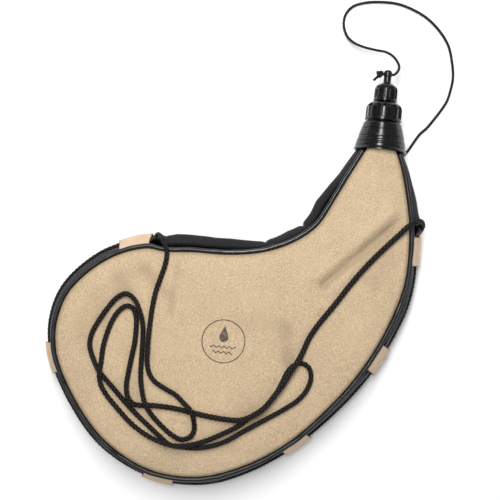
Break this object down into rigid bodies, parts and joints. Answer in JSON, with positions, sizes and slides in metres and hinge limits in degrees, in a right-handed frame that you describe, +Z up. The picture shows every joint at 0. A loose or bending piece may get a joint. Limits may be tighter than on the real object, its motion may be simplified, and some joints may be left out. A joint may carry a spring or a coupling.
{
  "type": "bota bag",
  "caption": "Curved leather wine skin lying flat, with a gusseted edge, a cord run through edge loops, and a screw-capped drinking spout tied to its collar.",
  "frame": {"origin": "on the back panel's flat underside, under the middle of the belly", "axes": "+Z up off the surface the bag lies on, through the bag's thickness; +Y along the neck, out of the mouth; +X to the right when the front panel is looked at with the neck up"},
  "size_m": [0.3115, 0.4156, 0.0535],
  "materials": {
    "suede": "napped suede, dry and soft",
    "loop_leather": "smooth undyed leather strap with cut edges",
    "piping_black": "glossy round piping",
    "gusset_black": "matt ribbed weave",
    "bakelite": "polished black moulding",
    "insert": "moulded threaded insert",
    "braid": "braided cord, matt",
    "seal_rubber": "soft moulded rubber",
    "latex": "thin latex"
  },
  "bodies": {
    "skin": {"front_panel": "suede", "back_panel": "suede", "front_piping": "piping_black", "back_piping": "piping_black", "gusset": "gusset_black", "bladder": "latex", "carry_cord_edge": "braid", "carry_cord_slack": "braid", "carry_loop_1": "loop_leather", "carry_loop_2": "loop_leather", "carry_loop_3": "loop_leather", "carry_loop_4": "loop_leather", "carry_loop_5": "loop_leather", "carry_loop_6": "loop_leather", "collar": "bakelite", "ferrule": "insert", "tether_cord": "braid"},
    "filler_lifter": {"filler_seal": "seal_rubber"},
    "filler": {"filler_cap": "bakelite"},
    "small_lifter": {"small_seal": "seal_rubber"},
    "small": {"small_cap": "bakelite", "tether_knot": "braid"}
  },
  "joints": [
    {"name": "filler_lift", "type": "slide", "parent": "skin", "child": "filler_lifter", "axis": [0, 1, 0], "range_m": [0, 0.009]},
    {"name": "filler_turn", "type": "hinge", "parent": "filler_lifter", "child": "filler", "pos_m": [0.10949, 0.2, 0.022], "axis": [0, 1, 0], "range_deg": [0, 1080]},
    {"name": "small_lift", "type": "slide", "parent": "filler", "child": "small_lifter", "axis": [0, 1, 0], "range_m": [0, 0.006]},
    {"name": "small_turn", "type": "hinge", "parent": "small_lifter", "child": "small", "pos_m": [0.10949, 0.215, 0.022], "axis": [0, 1, 0], "range_deg": [0, 1080]}
  ],
  "couplings": [
    {"joint": "filler_turn", "follows": "filler_lift", "rad_per_m": 2094.4},
    {"joint": "small_turn", "follows": "small_lift", "rad_per_m": 3141.6}
  ]
}
